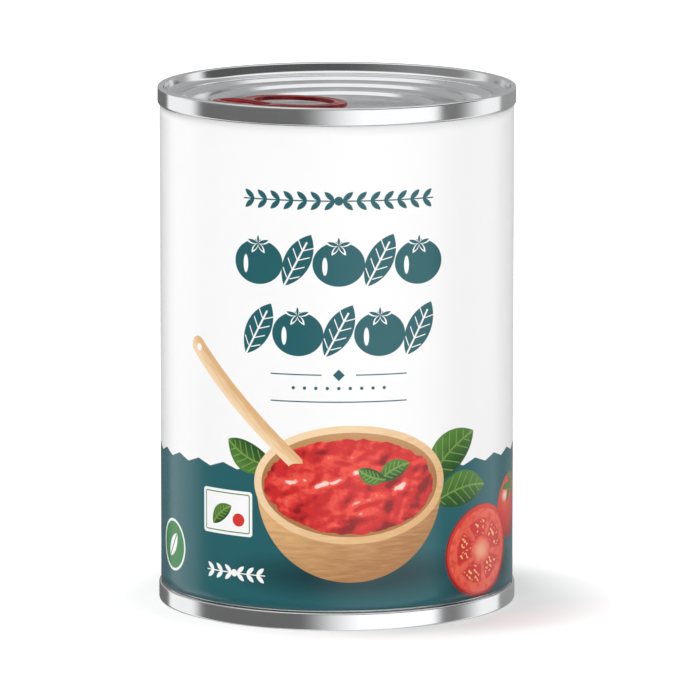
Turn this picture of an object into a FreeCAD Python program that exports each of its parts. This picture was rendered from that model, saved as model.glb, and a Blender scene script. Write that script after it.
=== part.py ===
"""A three-piece steel food tin with a paper label and a ring-pull lid.

The frame: +Z is up, the origin is on the floor at the middle of the tin's foot.
Everything is in millimetres. The tin is round, so most pieces are profiles in the
(radius, height) half plane, turned about Z. The ring-pull is drawn in plan, with
"along" measured from the tin's axis towards the rim and "across" square to it, and
is then turned to its place on the lid. An inset is a distance in from the outer
wall of the seams, so what is on the lid stays by the rim when the tin's width changes.
"""
import FreeCAD, Part

import math
import os

from FreeCAD import Vector

# The whole tin.
SEAM_DIAMETER = 76.2        # over the double seams, the tin's widest part
TIN_HEIGHT = 110.5

# The double seams, one at each end.
SEAM_HEIGHT = 3.7
SEAM_THICKNESS = 1.15       # from the outer wall to the chuck wall, at the rim
SEAM_EDGE_RADIUS = 0.4

# The wall of the tin between the seams.
WALL_INSET = 0.58
NECK_HEIGHT = 0.7           # the wall turns in over this height to enter a seam
NECK_DEPTH = 0.3

# The paper label.
PAPER_THICKNESS = 0.15
LABEL_TOP_GAP = 0.15        # from the upper seam down to the label
LABEL_BOTTOM_GAP = 0.95     # from the lower seam up to the label
LABEL_LAP = 9.0             # length of the glued lap, along the wall
LAP_AZIMUTH = 112.0         # middle of the lap, in degrees from +X

# The ends, pressed from sheet: a sunk panel that drops towards the middle in rings.
SHEET = 0.3
CHUCK_TAPER = 0.5           # the chuck wall closes in by this much on its way down
CHUCK_FOOT_FILLET = 1.1     # between the chuck wall and the panel
PANEL_DEPTH = 2.5           # from the rim down to the outermost ring of the panel
STEP_DROP = 0.8
STEP_RUN = 0.8
STEP_RADIUS = 0.3
LID_STEP_INSETS = (5.6, 11.1, 17.7)     # outermost first
BASE_STEP_INSETS = (5.6, 12.6, 23.4)
SCORE_INSET = 4.1           # the score line that the lid tears along
SCORE_WIDTH = 0.6
SCORE_DEPTH = 0.16

# The ring-pull: a flat ring for the finger, and a thicker nose that points at the score
# line. It is drawn level, and then tilted about the tip of its nose so that its heel drops.
PULL_AZIMUTH = 221.6        # the nose points this way, in degrees from +X
PULL_TILT = 2.6             # in degrees
RING_RADIUS = 11.25
RING_THICKNESS = 0.9
CURL_WIDTH = 2.8            # from the ring's outer edge to the finger hole
RING_EDGE_RADIUS = 0.4
HOLE_TO_NOSE = 0.7          # from the finger hole to the rear edge of the nose
NOSE_REAR_WIDTH = 16.8
NOSE_FRONT_WIDTH = 15.6
NOSE_REAR_CORNER = 3.6
NOSE_FRONT_CORNER = 5.0
NOSE_CROWN = 0.9            # the tip stands this far ahead of the front corners
NOSE_TIP_RADIUS = 30.0
NOSE_RISE = 0.3             # the nose's top stands this far above the ring's
NOSE_THICKNESS = 1.75
NOSE_EDGE_RADIUS = 0.6
NOSE_GAP = 0.7              # between the tip of the nose and the foot of the first step
NOSE_CLEARANCE = 0.45       # between the tip's underside and the panel
WEB_INSET = 2.0             # the rolled edge of the nose, round the thin web
WEB_THICKNESS = 0.4
WEB_LIFT = 0.5              # from the nose's underside up to the web
WEB_CORNER = 2.4
WEB_MARGIN = 0.15           # from the tongue's slot to the rolled edge

# The rivet through the middle of the web, drawn up out of the lid's own sheet.
RIVET_RADIUS = 1.3
RIVET_HEAD_RADIUS = 2.0
RIVET_HEAD_HEIGHT = 0.35
RIVET_SHOULDER_RADIUS = 1.7
RIVET_BOSS_RADIUS = 3.1
RIVET_BOSS_HEIGHT = 0.3
TONGUE_MARGIN = 0.05        # from the rivet's head to the slot that frees its tongue
TONGUE_SLOT_WIDTH = 0.45
TONGUE_SLOT_ANGLE = 210.0

SEAM_RADIUS = SEAM_DIAMETER / 2
CHUCK_TOP_RADIUS = SEAM_RADIUS - SEAM_THICKNESS
CHUCK_FOOT_RADIUS = CHUCK_TOP_RADIUS - CHUCK_TAPER
WALL_RADIUS = SEAM_RADIUS - WALL_INSET
NECK_RADIUS = WALL_RADIUS - NECK_DEPTH
LABEL_RADIUS = WALL_RADIUS + PAPER_THICKNESS

# Places along the ring-pull, measured from the tin's axis.
FINGER_RADIUS = RING_RADIUS - CURL_WIDTH
TONGUE_RADIUS = RIVET_HEAD_RADIUS + TONGUE_MARGIN
SLOT_RADIUS = TONGUE_RADIUS + TONGUE_SLOT_WIDTH
NOSE_TIP = SEAM_RADIUS - LID_STEP_INSETS[0] - STEP_RUN / 2 - NOSE_GAP
WEB_END = NOSE_TIP - NOSE_CROWN - WEB_INSET
RIVET_PLACE = WEB_END - WEB_MARGIN - SLOT_RADIUS
WEB_START = RIVET_PLACE - SLOT_RADIUS - WEB_MARGIN
NOSE_REAR = WEB_START - WEB_INSET
RING_PLACE = NOSE_REAR - HOLE_TO_NOSE - FINGER_RADIUS

# Its heights, as it is drawn level.
NOSE_UNDERSIDE = TIN_HEIGHT - PANEL_DEPTH - STEP_DROP + NOSE_CLEARANCE
NOSE_TOP = NOSE_UNDERSIDE + NOSE_THICKNESS
RING_TOP = NOSE_TOP - NOSE_RISE
WEB_UNDERSIDE = NOSE_UNDERSIDE + WEB_LIFT
WEB_TOP = WEB_UNDERSIDE + WEB_THICKNESS

AXIS = Vector(0, 0, 1)
CENTRE = Vector(0, 0, 0)
BEYOND = 1.0                # how far a cutting tool runs past what it cuts


def rounded_loop(corners, place):
    """A closed wire through corners (a, b, radius), each one rounded by its radius.

    place turns (a, b) into a point, so a loop can be a profile or a plan outline.
    Where two roundings meet on a side too short for both, they share it in proportion.
    """
    points = [Vector(a, b, 0) for a, b, radius in corners]
    sides = [points[(i + 1) % len(points)] - point for i, point in enumerate(points)]
    ways = [Vector(side).normalize() for side in sides]
    half_angles = [(-ways[i - 1]).getAngle(way) / 2 for i, way in enumerate(ways)]
    reaches = [radius / math.tan(half) for (a, b, radius), half in zip(corners, half_angles)]
    shares = [side.Length / max(side.Length, reaches[i] + reaches[(i + 1) % len(reaches)])
              for i, side in enumerate(sides)]
    stretches = []
    for i, here in enumerate(points):
        reach = reaches[i] * min(shares[i - 1], shares[i])
        if reach <= 0:
            stretches.append((here, None, here))
            continue
        back = -ways[i - 1]
        ahead = ways[i]
        depth = reach / math.cos(half_angles[i]) - reach * math.tan(half_angles[i])
        crown = here + (back + ahead).normalize() * depth
        stretches.append((here + back * reach, crown, here + ahead * reach))
    edges = []
    for i, (start, crown, stop) in enumerate(stretches):
        if crown is not None:
            arc = Part.Arc(*(place(p.x, p.y) for p in (start, crown, stop)))
            edges.append(arc.toShape())
        following = stretches[(i + 1) % len(stretches)][0]
        if (following - stop).Length > 1e-6:
            line = Part.LineSegment(place(stop.x, stop.y), place(following.x, following.y))
            edges.append(line.toShape())
    return Part.Wire(edges)


def turned(corners, angle=360, start=0):
    """The solid that a profile of (radius, height, rounding) sweeps about Z."""
    loop = rounded_loop(corners, lambda r, z: Vector(r, 0, z))
    solid = Part.Face(loop).revolve(CENTRE, AXIS, angle)
    solid.rotate(CENTRE, AXIS, start)
    return solid


def plate(corners, low, high):
    """The flat solid with a plan outline of (along, across, rounding)."""
    loop = rounded_loop(corners, lambda a, b: Vector(a, b, low))
    return Part.Face(loop).extrude(Vector(0, 0, high - low))


def mirrored(corners):
    """A whole plan outline from its half on the low side, listed from the heel on."""
    return corners + [(a, -b, radius) for a, b, radius in reversed(corners)]


def below_rim(depth):
    """Height of a point at this depth below the upper rim."""
    return TIN_HEIGHT - depth


def above_foot(depth):
    """Height of a point at this depth inside the lower end, whose rim is on the floor."""
    return depth


def end_profile(step_insets, height_at, score_inset=None):
    """The closed profile of an end: panel, chuck wall and seam, in one piece of sheet.

    height_at turns a depth below the end's rim into a height.
    """
    depth = PANEL_DEPTH + STEP_DROP * len(step_insets)
    face = [(0, depth, 0)]
    for inset in reversed(step_insets):
        middle = SEAM_RADIUS - inset
        face.append((middle - STEP_RUN / 2, depth, STEP_RADIUS))
        depth -= STEP_DROP
        face.append((middle + STEP_RUN / 2, depth, STEP_RADIUS))
    if score_inset is not None:
        score = SEAM_RADIUS - score_inset
        face.append((score - SCORE_WIDTH / 2, depth, 0))
        face.append((score, depth + SCORE_DEPTH, 0))
        face.append((score + SCORE_WIDTH / 2, depth, 0))
    face += [
        (CHUCK_FOOT_RADIUS, depth, CHUCK_FOOT_FILLET),
        (CHUCK_TOP_RADIUS, 0, SEAM_EDGE_RADIUS),
        (SEAM_RADIUS, 0, SEAM_EDGE_RADIUS),
        (SEAM_RADIUS, SEAM_HEIGHT, SEAM_EDGE_RADIUS),
    ]
    back = [(r, d, 0) for r, d in end_back(step_insets)]
    return [(r, height_at(d), rounding) for r, d, rounding in face + back[::-1]]


def end_back(step_insets):
    """The hidden face of an end, one sheet behind the outer one, as (radius, depth)."""
    depth = PANEL_DEPTH + STEP_DROP * len(step_insets) + SHEET
    line = [(0, depth)]
    for inset in reversed(step_insets):
        middle = SEAM_RADIUS - inset
        line.append((middle - STEP_RUN / 2, depth))
        depth -= STEP_DROP
        line.append((middle + STEP_RUN / 2, depth))
    line.append((CHUCK_FOOT_RADIUS + SHEET, depth))
    line.append((CHUCK_FOOT_RADIUS + SHEET, SEAM_HEIGHT))
    return line


def lid_height_at(radius):
    """Height of the lid's panel at a distance from the tin's axis."""
    steps = sum(1 for inset in LID_STEP_INSETS if SEAM_RADIUS - inset > radius)
    return below_rim(PANEL_DEPTH + STEP_DROP * steps)


def tin_body():
    """The wall with what it holds: a shut tin can't be seen into, so it is solid."""
    top = [(r, below_rim(d), 0) for r, d in end_back(LID_STEP_INSETS)]
    bottom = [(r, above_foot(d), 0) for r, d in end_back(BASE_STEP_INSETS)]
    wall = [
        (NECK_RADIUS, below_rim(SEAM_HEIGHT), 0),
        (WALL_RADIUS, below_rim(SEAM_HEIGHT + NECK_HEIGHT), 0),
        (WALL_RADIUS, above_foot(SEAM_HEIGHT + NECK_HEIGHT), 0),
        (NECK_RADIUS, above_foot(SEAM_HEIGHT), 0),
    ]
    return turned(top + wall + bottom[::-1])


def label():
    """The paper round the wall, with one end lapped over the other and glued down."""
    low = above_foot(SEAM_HEIGHT + LABEL_BOTTOM_GAP)
    high = below_rim(SEAM_HEIGHT + LABEL_TOP_GAP)

    def layer(inner):
        outer = inner + PAPER_THICKNESS
        return [(inner, low, 0), (outer, low, 0), (outer, high, 0), (inner, high, 0)]

    lap_angle = math.degrees(LABEL_LAP / LABEL_RADIUS)
    lap = turned(layer(LABEL_RADIUS), lap_angle, LAP_AZIMUTH - lap_angle / 2)
    return turned(layer(WALL_RADIUS)).fuse(lap)


def on_lid(solid):
    """A piece of the level ring-pull, tilted and turned to its place."""
    solid.rotate(Vector(NOSE_TIP, 0, NOSE_UNDERSIDE), Vector(0, 1, 0), -PULL_TILT)
    solid.rotate(CENTRE, AXIS, PULL_AZIMUTH)
    return solid


def rivet():
    """The stepped button that clamps the pull's web, on a low boss of the panel."""
    panel = lid_height_at(RIVET_PLACE)
    root = panel - SHEET / 2
    head = WEB_TOP + RIVET_HEAD_HEIGHT
    button = turned([
        (0, root, 0),
        (RIVET_SHOULDER_RADIUS, root, 0),
        (RIVET_SHOULDER_RADIUS, WEB_UNDERSIDE, 0),
        (RIVET_RADIUS, WEB_UNDERSIDE, 0),
        (RIVET_RADIUS, WEB_TOP, 0),
        (RIVET_HEAD_RADIUS, WEB_TOP, 0),
        (RIVET_HEAD_RADIUS, head, RIVET_HEAD_HEIGHT / 2),
        (0, head, 0),
    ])
    button.translate(Vector(RIVET_PLACE, 0, 0))
    boss = turned([
        (0, root, 0),
        (RIVET_BOSS_RADIUS, root, 0),
        (RIVET_BOSS_RADIUS, panel, 0),
        (RIVET_BOSS_RADIUS - RIVET_BOSS_HEIGHT, panel + RIVET_BOSS_HEIGHT, 0),
        (0, panel + RIVET_BOSS_HEIGHT, 0),
    ])
    boss.translate(Vector(RIVET_PLACE, 0, 0))
    boss.rotate(CENTRE, AXIS, PULL_AZIMUTH)
    return on_lid(button).fuse(boss).cut(tin_body())


def lid():
    """The upper end, with its score line and the rivet drawn up out of its panel."""
    end = turned(end_profile(LID_STEP_INSETS, below_rim, SCORE_INSET))
    return end.fuse(rivet())


def base():
    """The lower end, which the tin stands on."""
    return turned(end_profile(BASE_STEP_INSETS, above_foot))


def level_edges(solid, height):
    """The edges of a solid that lie level at a height."""
    box_of = ((edge, edge.BoundBox) for edge in solid.Edges)
    return [edge for edge, box in box_of
            if abs(box.ZMin - height) < 1e-4 and abs(box.ZMax - height) < 1e-4]


def pull():
    """The ring-pull: a rolled ring for the finger, joined to a nose with a sunk web."""
    trim = plate(web_outline(NOSE_EDGE_RADIUS), NOSE_UNDERSIDE, NOSE_TOP)
    return on_lid(finger_ring().cut(trim).fuse(nose()))


def finger_ring():
    """The flat ring, with its inner and outer edges rolled round."""
    centre = Vector(RING_PLACE, 0, RING_TOP - RING_THICKNESS)
    disc = Part.makeCylinder(RING_RADIUS, RING_THICKNESS, centre)
    ring = disc.cut(Part.makeCylinder(FINGER_RADIUS, RING_THICKNESS, centre))
    edges = level_edges(ring, RING_TOP) + level_edges(ring, RING_TOP - RING_THICKNESS)
    return ring.makeFillet(RING_EDGE_RADIUS, edges)


def web_outline(margin=0):
    """The plan outline of the web, grown by a margin into the rolled edge round it."""
    inset = WEB_INSET - margin
    corner = WEB_CORNER + margin
    return mirrored([
        (WEB_START - margin, inset - NOSE_REAR_WIDTH / 2, corner),
        (WEB_END + margin, inset - NOSE_FRONT_WIDTH / 2, corner),
    ])


def nose():
    """The thicker front, rolled round a web that the rivet holds by a tongue."""
    shoulder = NOSE_TIP - NOSE_CROWN
    outline = mirrored([
        (NOSE_REAR, -NOSE_REAR_WIDTH / 2, NOSE_REAR_CORNER),
        (shoulder, -NOSE_FRONT_WIDTH / 2, NOSE_FRONT_CORNER),
    ])
    outline.insert(2, (NOSE_TIP, 0, NOSE_TIP_RADIUS))
    block = plate(outline, NOSE_UNDERSIDE, NOSE_TOP)
    block = block.cut(plate(web_outline(), WEB_TOP, NOSE_TOP + BEYOND))
    edges = level_edges(block, NOSE_TOP) + level_edges(block, NOSE_UNDERSIDE)
    block = block.makeFillet(NOSE_EDGE_RADIUS, edges)
    block = block.cut(plate(web_outline(), NOSE_UNDERSIDE - BEYOND, WEB_UNDERSIDE))
    place = Vector(RIVET_PLACE, 0, WEB_UNDERSIDE)
    block = block.cut(Part.makeCylinder(RIVET_RADIUS, WEB_THICKNESS, place))
    return block.cut(tongue_slot(place))


def tongue_slot(place):
    """The curved slot round the rivet, open towards the nose's tip, for the web's tongue."""
    slot = turned([
        (TONGUE_RADIUS, 0, 0), (SLOT_RADIUS, 0, 0),
        (SLOT_RADIUS, WEB_THICKNESS, 0), (TONGUE_RADIUS, WEB_THICKNESS, 0),
    ], TONGUE_SLOT_ANGLE, 180 - TONGUE_SLOT_ANGLE / 2)
    slot.translate(place)
    return slot


PIECES = {
    "tin_body": tin_body,
    "label": label,
    "lid": lid,
    "base": base,
    "pull": pull,
}

os.makedirs("parts", exist_ok=True)
for name, make in PIECES.items():
    piece = make()
    solid, = piece.Solids
    solid.exportStep(f"parts/{name}.step")
    box = solid.BoundBox
    print(f"{name}: {solid.Volume:.1f} mm3, {box.ZMin:.2f} to {box.ZMax:.2f}, {solid.isValid()}")
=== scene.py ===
"""A tin of tomato sauce: a three-piece steel food tin with a paper label and a red ring-pull.

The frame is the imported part: metres, +Z up, the origin on the floor at the middle of the
tin's foot, and the middle of the label's front towards -Y. The tin is put together here in
the order that it is made: wall, ends, rivet, ring-pull and label, and then the studio.
"""

import math

import bmesh
import bpy
from mathutils import Matrix, Vector


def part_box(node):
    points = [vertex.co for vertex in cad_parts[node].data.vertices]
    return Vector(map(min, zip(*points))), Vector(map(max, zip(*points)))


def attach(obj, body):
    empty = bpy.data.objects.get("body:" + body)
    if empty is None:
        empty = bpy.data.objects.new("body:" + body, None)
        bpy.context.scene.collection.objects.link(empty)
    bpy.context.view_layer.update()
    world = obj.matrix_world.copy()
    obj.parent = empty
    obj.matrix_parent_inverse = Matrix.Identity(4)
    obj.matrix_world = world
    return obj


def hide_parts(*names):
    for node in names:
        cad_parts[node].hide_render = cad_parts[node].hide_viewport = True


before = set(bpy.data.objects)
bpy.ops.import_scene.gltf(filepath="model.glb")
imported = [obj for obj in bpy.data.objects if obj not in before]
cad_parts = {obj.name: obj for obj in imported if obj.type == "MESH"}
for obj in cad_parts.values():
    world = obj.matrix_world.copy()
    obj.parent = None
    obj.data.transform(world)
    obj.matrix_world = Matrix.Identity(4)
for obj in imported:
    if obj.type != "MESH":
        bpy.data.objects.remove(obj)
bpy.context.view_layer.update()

MM = 0.001


# ------------------------------------------------
# The wall: tin-coated steel sheet rolled into a tube and welded. The label hides all but a
# strip of it at each end, where it turns in under the double seams.
# ------------------------------------------------
def feed(tree, socket, value):
    """Gives an input a value of its own, or another node's output."""
    if isinstance(value, bpy.types.NodeSocket):
        tree.links.new(value, socket)
    else:
        socket.default_value = value


def add(tree, kind, settings=None, **inputs):
    """A node of this kind, with its settings, and with values or sockets on its inputs."""
    node = tree.nodes.new(kind)
    for name, value in (settings or {}).items():
        setattr(node, name, value)
    for name, value in inputs.items():
        feed(tree, node.inputs[name.replace("_", " ")], value)
    return node


def reckoned(tree, operation, *values, clamp=False):
    """What a math node makes of these values or sockets."""
    node = add(tree, "ShaderNodeMath", {"operation": operation, "use_clamp": clamp})
    for socket, value in zip(node.inputs, values):
        feed(tree, socket, value)
    return node.outputs[0]


def ranged(tree, value, given, wanted=(0.0, 1.0), soft=False):
    """Carries a value from one range over to another, with a plain rise or a soft one."""
    node = add(tree, "ShaderNodeMapRange", Value=value, From_Min=given[0], From_Max=given[1],
               To_Min=wanted[0], To_Max=wanted[1])
    if soft:
        node.interpolation_type = "SMOOTHSTEP"
    return node.outputs[0]


MIX_LOW, MIX_HIGH, MIX_RESULT = 6, 7, 2     # where a mix node keeps its sockets for colours


def mixed(tree, factor, low, high):
    """Colours between low and high, which are colours themselves or sockets of them."""
    node = add(tree, "ShaderNodeMix", {"data_type": "RGBA"}, Factor=factor)
    feed(tree, node.inputs[MIX_LOW], low)
    feed(tree, node.inputs[MIX_HIGH], high)
    return node.outputs[MIX_RESULT]


def new_group(name, kind, inputs, outputs):
    """A node group, with the sockets that feed it and the sockets that it feeds."""
    tree = bpy.data.node_groups.new(name, kind)
    for in_out, sockets in (("INPUT", inputs), ("OUTPUT", outputs)):
        for socket, held in sockets.items():
            tree.interface.new_socket(socket, in_out=in_out, socket_type="NodeSocket" + held)
    return tree, tree.nodes.new("NodeGroupInput").outputs, tree.nodes.new("NodeGroupOutput").inputs


def new_material(name):
    """A node material, its node tree, and its Principled BSDF."""
    made = bpy.data.materials.new(name)
    made.use_nodes = True
    return made, made.node_tree, made.node_tree.nodes["Principled BSDF"]


STREAK_SCALE = (60, 2600, 2600)     # the streaks run along x
CLOUD_SCALE = 90
STEEL_DULL = (0.82, 0.825, 0.84, 1)
STEEL_BRIGHT = (0.90, 0.905, 0.91, 1)


def sheet_grain_group():
    """Shader nodes for rolled sheet: fine streaks along the rolling, and soft cloudy patches."""
    tree, given, result = new_group("sheet_grain", "ShaderNodeTree", {"Place": "Vector"},
                                    {"Streaks": "Float", "Clouds": "Float"})
    drawn_out = add(tree, "ShaderNodeVectorMath", {"operation": "MULTIPLY"}, Vector=given["Place"])
    drawn_out.inputs[1].default_value = STREAK_SCALE
    streaks = add(tree, "ShaderNodeTexNoise", Vector=drawn_out.outputs[0], Scale=1, Detail=3)
    clouds = add(tree, "ShaderNodeTexNoise", Vector=given["Place"], Scale=CLOUD_SCALE, Detail=3)
    feed(tree, result["Streaks"], streaks.outputs[0])
    feed(tree, result["Clouds"], clouds.outputs[0])
    return tree


SHEET_GRAIN = sheet_grain_group()


def grained(tree, finish, smooth, rough, relief):
    """Gives a finish the sheet's grain: its roughness from smooth to rough, and a faint relief."""
    place = add(tree, "ShaderNodeTexCoord").outputs["Object"]
    grain = add(tree, "ShaderNodeGroup", {"node_tree": SHEET_GRAIN}, Place=place)
    both = add(tree, "ShaderNodeMix", {"data_type": "FLOAT"}, Factor=0.55,
               A=grain.outputs["Streaks"], B=grain.outputs["Clouds"])
    worn = ranged(tree, both.outputs[0], (0.3, 0.7), (smooth, rough))
    bump = add(tree, "ShaderNodeBump", Height=grain.outputs["Streaks"], Strength=relief,
               Distance=0.01 * MM)
    feed(tree, finish.inputs["Roughness"], worn)
    feed(tree, finish.inputs["Normal"], bump.outputs[0])
    return grain.outputs["Clouds"]


tinplate, tree, steel = new_material("bright_tinplate")
steel.inputs["Metallic"].default_value = 1
clouds = grained(tree, steel, smooth=0.09, rough=0.17, relief=0.12)
feed(tree, steel.inputs["Base Color"], mixed(tree, clouds, STEEL_DULL, STEEL_BRIGHT))

ROUNDING_STEPS = 8
FLAT_MARGIN = 0.04 * MM     # a flat keeps its own normals to this near a rounding
FINE_GAP = 0.0001 * MM      # points nearer than this are one point


def rounded(corners):
    """Points along an open line through (a, b, rounding), each corner an arc of that radius."""
    points = [Vector(corners[0][:2])]
    for before, (a, b, radius), after in zip(corners, corners[1:], corners[2:]):
        here = Vector((a, b))
        if radius == 0:
            points.append(here)
            continue
        back = (Vector(before[:2]) - here).normalized()
        ahead = (Vector(after[:2]) - here).normalized()
        half = back.angle(ahead) / 2
        reach = radius / math.tan(half)
        centre = here + (back + ahead).normalized() * radius / math.sin(half)
        start = here + back * reach - centre
        sweep = math.pi - 2 * half
        turn = sweep if back.x * ahead.y < back.y * ahead.x else -sweep
        points.append(here + back * (reach + FLAT_MARGIN))
        for step in range(ROUNDING_STEPS + 1):
            angle = turn * step / ROUNDING_STEPS
            points.append(centre + Matrix.Rotation(angle, 2) @ start)
        points.append(here + ahead * (reach + FLAT_MARGIN))
    points.append(Vector(corners[-1][:2]))
    return points


def finished(tree, shell, gap, finish):
    """Closes a shell's seams and poles that are narrower than gap, smooths it and coats it."""
    closed = add(tree, "GeometryNodeMergeByDistance", Geometry=shell, Distance=gap)
    smooth = add(tree, "GeometryNodeSetShadeSmooth", Geometry=closed.outputs["Geometry"])
    real = add(tree, "GeometryNodeRealizeInstances", Geometry=smooth.outputs["Geometry"])
    coated = add(tree, "GeometryNodeSetMaterial", Geometry=real.outputs["Geometry"], Material=finish)
    return coated.outputs["Geometry"]


def turning_tree():
    """Geometry nodes that turn a line drawn as (radius, height) about the upright axis."""
    tree, given, result = new_group(
        "turned", "GeometryNodeTree",
        {"Profile": "Geometry", "Facets": "Int", "Path Radius": "Float", "Finish": "Material"},
        {"Turned": "Geometry"},
    )
    circle = add(tree, "GeometryNodeCurvePrimitiveCircle", Resolution=given["Facets"],
                 Radius=given["Path Radius"])
    path = add(tree, "GeometryNodeSetCurveNormal", {"mode": "Z_UP"}, Curve=circle.outputs["Curve"])
    offset = add(tree, "ShaderNodeCombineXYZ", X=reckoned(tree, "MULTIPLY", given["Path Radius"], -1))
    line = add(tree, "GeometryNodeMeshToCurve", Mesh=given["Profile"])
    placed = add(tree, "GeometryNodeTransform", Geometry=line.outputs["Curve"],
                 Translation=offset.outputs["Vector"], Scale=(1, -1, 1))
    shell = add(tree, "GeometryNodeCurveToMesh", Curve=path.outputs["Curve"],
                Profile_Curve=placed.outputs["Geometry"])
    feed(tree, result["Turned"], finished(tree, shell.outputs["Mesh"], FINE_GAP, given["Finish"]))
    return tree


TURNING = turning_tree()


def piece(name, mesh):
    """An object of this mesh, in the scene."""
    made = bpy.data.objects.new(name, mesh)
    bpy.context.scene.collection.objects.link(made)
    return made


def applied(made, change):
    """Leaves what a modifier makes of a piece as its plain mesh."""
    graph = bpy.context.evaluated_depsgraph_get()
    mesh = bpy.data.meshes.new_from_object(made.evaluated_get(graph), depsgraph=graph)
    made.modifiers.remove(change)
    made.data = mesh
    return made


def baked(made, tree, **inputs):
    """Runs a geometry nodes tree on a piece, and leaves the result as its plain mesh."""
    shaping = made.modifiers.new(tree.name, "NODES")
    shaping.node_group = tree
    sockets = {item.name: item.identifier for item in tree.interface.items_tree
               if item.in_out == "INPUT"}
    for key, value in inputs.items():
        shaping[sockets[key.replace("_", " ")]] = value
    return applied(made, shaping)


def turned(name, corners, finish, facets=288):
    """A piece turned from an open half profile of (radius, height, rounding) corners."""
    points = rounded(corners)
    mesh = bpy.data.meshes.new(name)
    edges = [(i, i + 1) for i in range(len(points) - 1)]
    mesh.from_pydata([(r, z, 0) for r, z in points], edges, [])
    made = baked(piece(name, mesh), TURNING, Facets=facets, Path_Radius=points[1].x, Finish=finish)
    made.data.name = name
    return made


tin_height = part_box("lid")[1].z
seam_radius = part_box("lid")[1].x
SEAM_HEIGHT = 3.7 * MM
WALL_INSET = 0.58 * MM
NECK_HEIGHT = 0.7 * MM
NECK_DEPTH = 0.3 * MM
PLUG_INSET = 3.0 * MM       # the ends' panels hang between the wall's two sunk faces
wall_radius = seam_radius - WALL_INSET
neck_radius = wall_radius - NECK_DEPTH
plug_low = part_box("base")[1].z
plug_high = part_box("lid")[0].z
wall_low, wall_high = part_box("tin_body")

wall = turned("wall", [
    (0, plug_high, 0),
    (neck_radius - PLUG_INSET, plug_high, 0),
    (neck_radius - NECK_DEPTH, wall_high.z, 0),
    (neck_radius, tin_height - SEAM_HEIGHT, 0),
    (wall_radius, tin_height - SEAM_HEIGHT - NECK_HEIGHT, 0),
    (wall_radius, SEAM_HEIGHT + NECK_HEIGHT, 0),
    (neck_radius, SEAM_HEIGHT, 0),
    (neck_radius - NECK_DEPTH, wall_low.z, 0),
    (neck_radius - PLUG_INSET, plug_low, 0),
    (0, plug_low, 0),
], tinplate)
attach(wall, "root")
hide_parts("tin_body")


# ------------------------------------------------
# The ends: sheet pressed into a sunk panel that drops towards the middle in rings, and
# folded over the wall's edge in a double seam. The lid's panel is scored so that it tears.
# ------------------------------------------------
SHEET = 0.3 * MM
SEAM_THICKNESS = 1.15 * MM
SEAM_EDGE_RADIUS = 0.4 * MM
CHUCK_TAPER = 0.5 * MM
CHUCK_FOOT_FILLET = 1.1 * MM
PANEL_DEPTH = 2.5 * MM
STEP_DROP = 0.8 * MM
STEP_RUN = 0.8 * MM
STEP_RADIUS = 0.3 * MM
SCORE_INSET = 4.1 * MM
SCORE_WIDTH = 0.6 * MM
SCORE_DEPTH = 0.16 * MM
LID_STEP_INSETS = (5.6 * MM, 11.1 * MM, 17.7 * MM)
BASE_STEP_INSETS = (5.6 * MM, 12.6 * MM, 23.4 * MM)

chuck_top = seam_radius - SEAM_THICKNESS
chuck_foot = chuck_top - CHUCK_TAPER


def end_profile(step_insets, scored):
    """An end's half profile, with heights as depths below its rim, from face to back."""
    deepest = PANEL_DEPTH + STEP_DROP * len(step_insets)
    face = [(0, deepest, 0)]
    back = [(0, deepest + SHEET, 0)]
    depth = deepest
    for inset in reversed(step_insets):
        middle = seam_radius - inset
        for r, d in ((middle - STEP_RUN / 2, depth), (middle + STEP_RUN / 2, depth - STEP_DROP)):
            face.append((r, d, STEP_RADIUS))
            back.append((r, d + SHEET, 0))
        depth -= STEP_DROP
    if scored:
        score = seam_radius - SCORE_INSET
        face += [
            (score - SCORE_WIDTH / 2, depth, 0),
            (score, depth + SCORE_DEPTH, 0),
            (score + SCORE_WIDTH / 2, depth, 0),
        ]
    face += [
        (chuck_foot, depth, CHUCK_FOOT_FILLET),
        (chuck_top, 0, SEAM_EDGE_RADIUS),
        (seam_radius, 0, SEAM_EDGE_RADIUS),
        (seam_radius, SEAM_HEIGHT, SEAM_EDGE_RADIUS),
        (chuck_foot + SHEET, SEAM_HEIGHT, 0),
        (chuck_foot + SHEET, depth + SHEET, 0),
    ]
    return face + back[::-1]


lid_profile = end_profile(LID_STEP_INSETS, True)
lid = turned("lid_end", [(r, tin_height - depth, bend) for r, depth, bend in lid_profile], tinplate)
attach(lid, "root")
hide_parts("lid")

base = turned("base_end", end_profile(BASE_STEP_INSETS, False)[::-1], tinplate)
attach(base, "root")
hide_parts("base")


# ------------------------------------------------
# The rivet: drawn up out of the lid's own sheet on a low boss, put through the pull's web,
# and headed over it.
# ------------------------------------------------
NOSE_GAP = 0.7 * MM
NOSE_CROWN = 0.9 * MM
NOSE_LIFT = 0.45 * MM               # the nose's foot is this far off the panel
WEB_INSET = 2.0 * MM
WEB_THICKNESS = 0.4 * MM
WEB_LIFT = 0.5 * MM
RIVET_RADIUS = 1.3 * MM
RIVET_HEAD_RADIUS = 2.0 * MM
RIVET_HEAD_HEIGHT = 0.35 * MM
RIVET_SHOULDER_RADIUS = 1.7 * MM
RIVET_CROWN_RADIUS = 1.2 * MM
RIVET_CROWN_ROUNDING = 0.8 * MM
RIVET_FILLET = 0.1 * MM
RIVET_FACETS = 96
BOSS_RADIUS = 3.1 * MM
BOSS_HEIGHT = 0.3 * MM
BOSS_EDGE = 0.25 * MM
SLOT_RADIUS = 2.5 * MM
SLOT_WIDTH = 0.45 * MM
SLOT_MARGIN = 0.15 * MM
PULL_AZIMUTH = math.radians(221.6)
PULL_TILT = math.radians(2.6)       # the finger ring stands up a little further

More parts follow.
